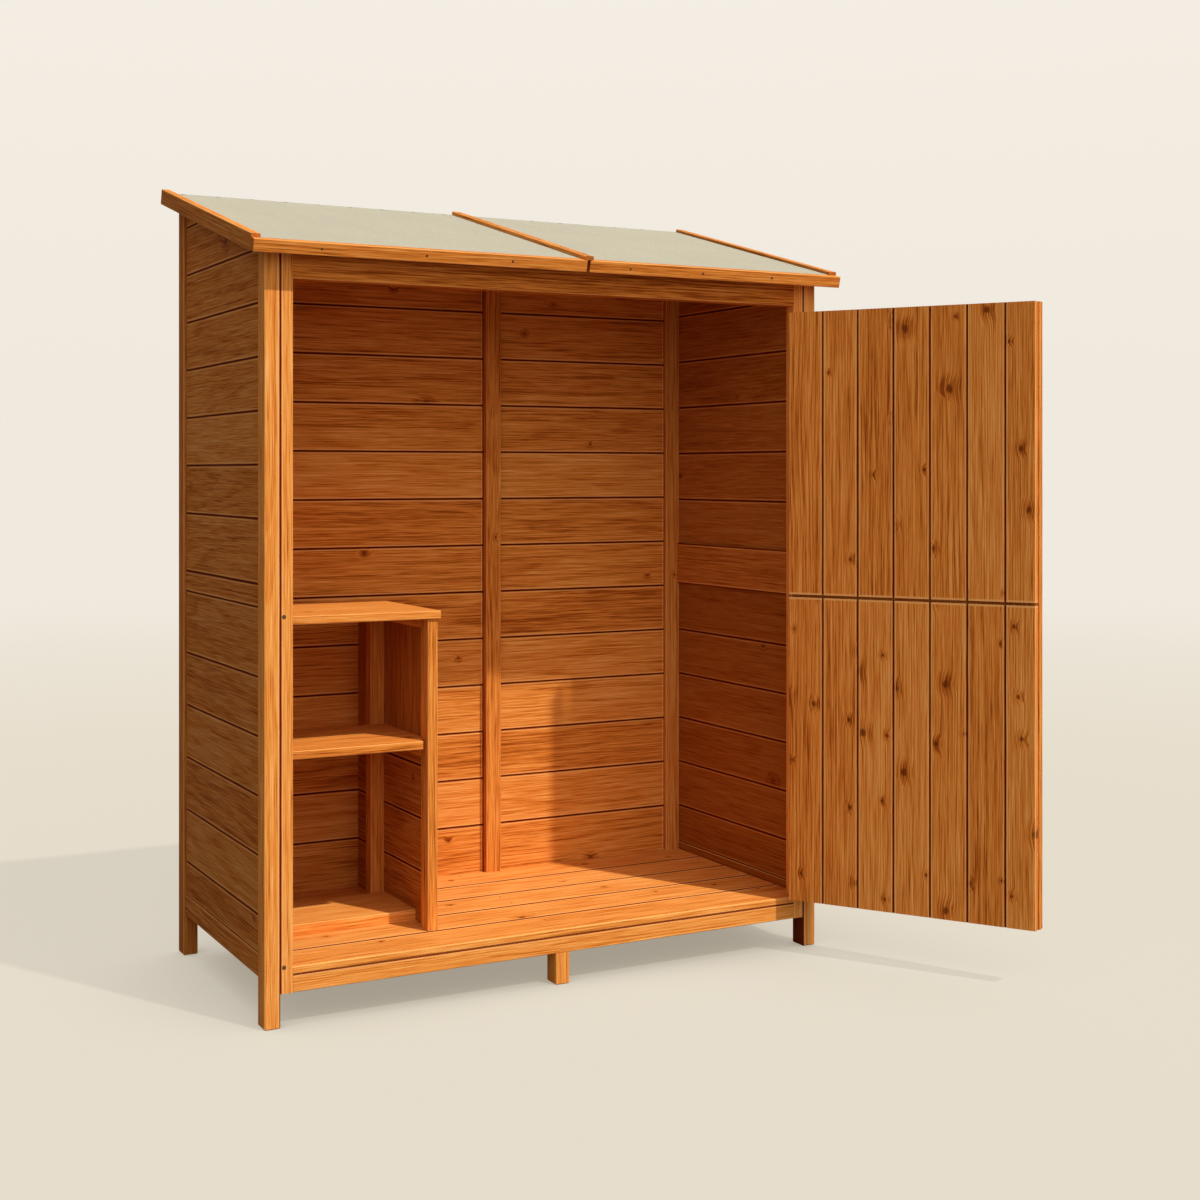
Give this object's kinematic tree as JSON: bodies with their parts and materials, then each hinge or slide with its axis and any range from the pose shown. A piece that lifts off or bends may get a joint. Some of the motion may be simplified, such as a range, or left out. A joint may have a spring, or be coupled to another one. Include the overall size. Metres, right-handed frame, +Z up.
{
  "type": "garden tool shed",
  "caption": "Small lean-to garden tool shed of stained timber with a felt roof, plank floor, corner shelf unit and an open hinged door.",
  "frame": {"origin": "on the ground, under the middle of the front middle leg", "axes": "+X to the right along the front, +Y to the back, +Z up"},
  "size_m": [1.4956, 1.0866, 1.6196],
  "materials": {
    "frame_timber": "planed fir with an orange-brown stain, satin",
    "wall_timber": "fir boards with an orange-brown stain, satin",
    "floor_timber": "fir boards with a light orange stain, satin",
    "door_timber": "fir boards with an orange-brown stain, satin",
    "roofing_felt": "bitumen felt with pale grey-green mineral grit, matt",
    "hinge_steel": "zinc-plated steel"
  },
  "bodies": {
    "shed": {"back_boards": "wall_timber", "back_bottom_rail": "frame_timber", "back_centre_stile": "frame_timber", "back_left_post": "frame_timber", "back_left_stile": "frame_timber", "back_middle_leg": "frame_timber", "back_right_post": "frame_timber", "back_right_stile": "frame_timber", "back_top_rail": "frame_timber", "bottom_shelf": "floor_timber", "centre_rafter": "frame_timber", "floor_bearer": "floor_timber", "floor_boards": "floor_timber", "front_bottom_rail": "frame_timber", "front_left_post": "frame_timber", "front_left_stile": "frame_timber", "front_middle_leg": "frame_timber", "front_right_post": "frame_timber", "front_right_stile": "frame_timber", "header_rail": "frame_timber", "hinge_frame_leaves": "hinge_steel", "hinge_frame_screws": "hinge_steel", "hinge_pins": "hinge_steel", "left_bargeboard": "frame_timber", "left_bottom_rail": "frame_timber", "left_fascia": "frame_timber", "left_lower_boards": "wall_timber", "left_mid_rail": "frame_timber", "left_roof_deck": "frame_timber", "left_roof_felt": "roofing_felt", "left_top_rail": "frame_timber", "left_upper_boards": "wall_timber", "middle_shelf": "floor_timber", "right_bargeboard": "frame_timber", "right_bottom_rail": "frame_timber", "right_fascia": "frame_timber", "right_lower_boards": "wall_timber", "right_mid_rail": "frame_timber", "right_roof_deck": "frame_timber", "right_roof_felt": "roofing_felt", "right_top_rail": "frame_timber", "right_upper_boards": "wall_timber", "roof_cover_strip": "frame_timber", "shelf_back_stile": "floor_timber", "shelf_cleats": "floor_timber", "shelf_front_stile": "floor_timber", "shelf_side_boards": "floor_timber", "shelf_side_panel": "floor_timber", "top_shelf": "floor_timber"},
    "door": {"door_upper_boards": "door_timber", "door_lower_boards": "door_timber", "door_hinge_stile": "door_timber", "door_free_stile": "door_timber", "door_top_rail": "door_timber", "door_mid_rail": "door_timber", "door_bottom_rail": "door_timber", "door_knob": "door_timber", "hinge_door_leaves": "hinge_steel", "hinge_door_screws": "hinge_steel"}
  },
  "joints": [
    {"name": "door_hinge", "type": "hinge", "parent": "shed", "child": "door", "pos_m": [0.5546, -0.0245, 0.7345], "axis": [0, 0, 1], "range_deg": [-122.5, 57.5]}
  ]
}
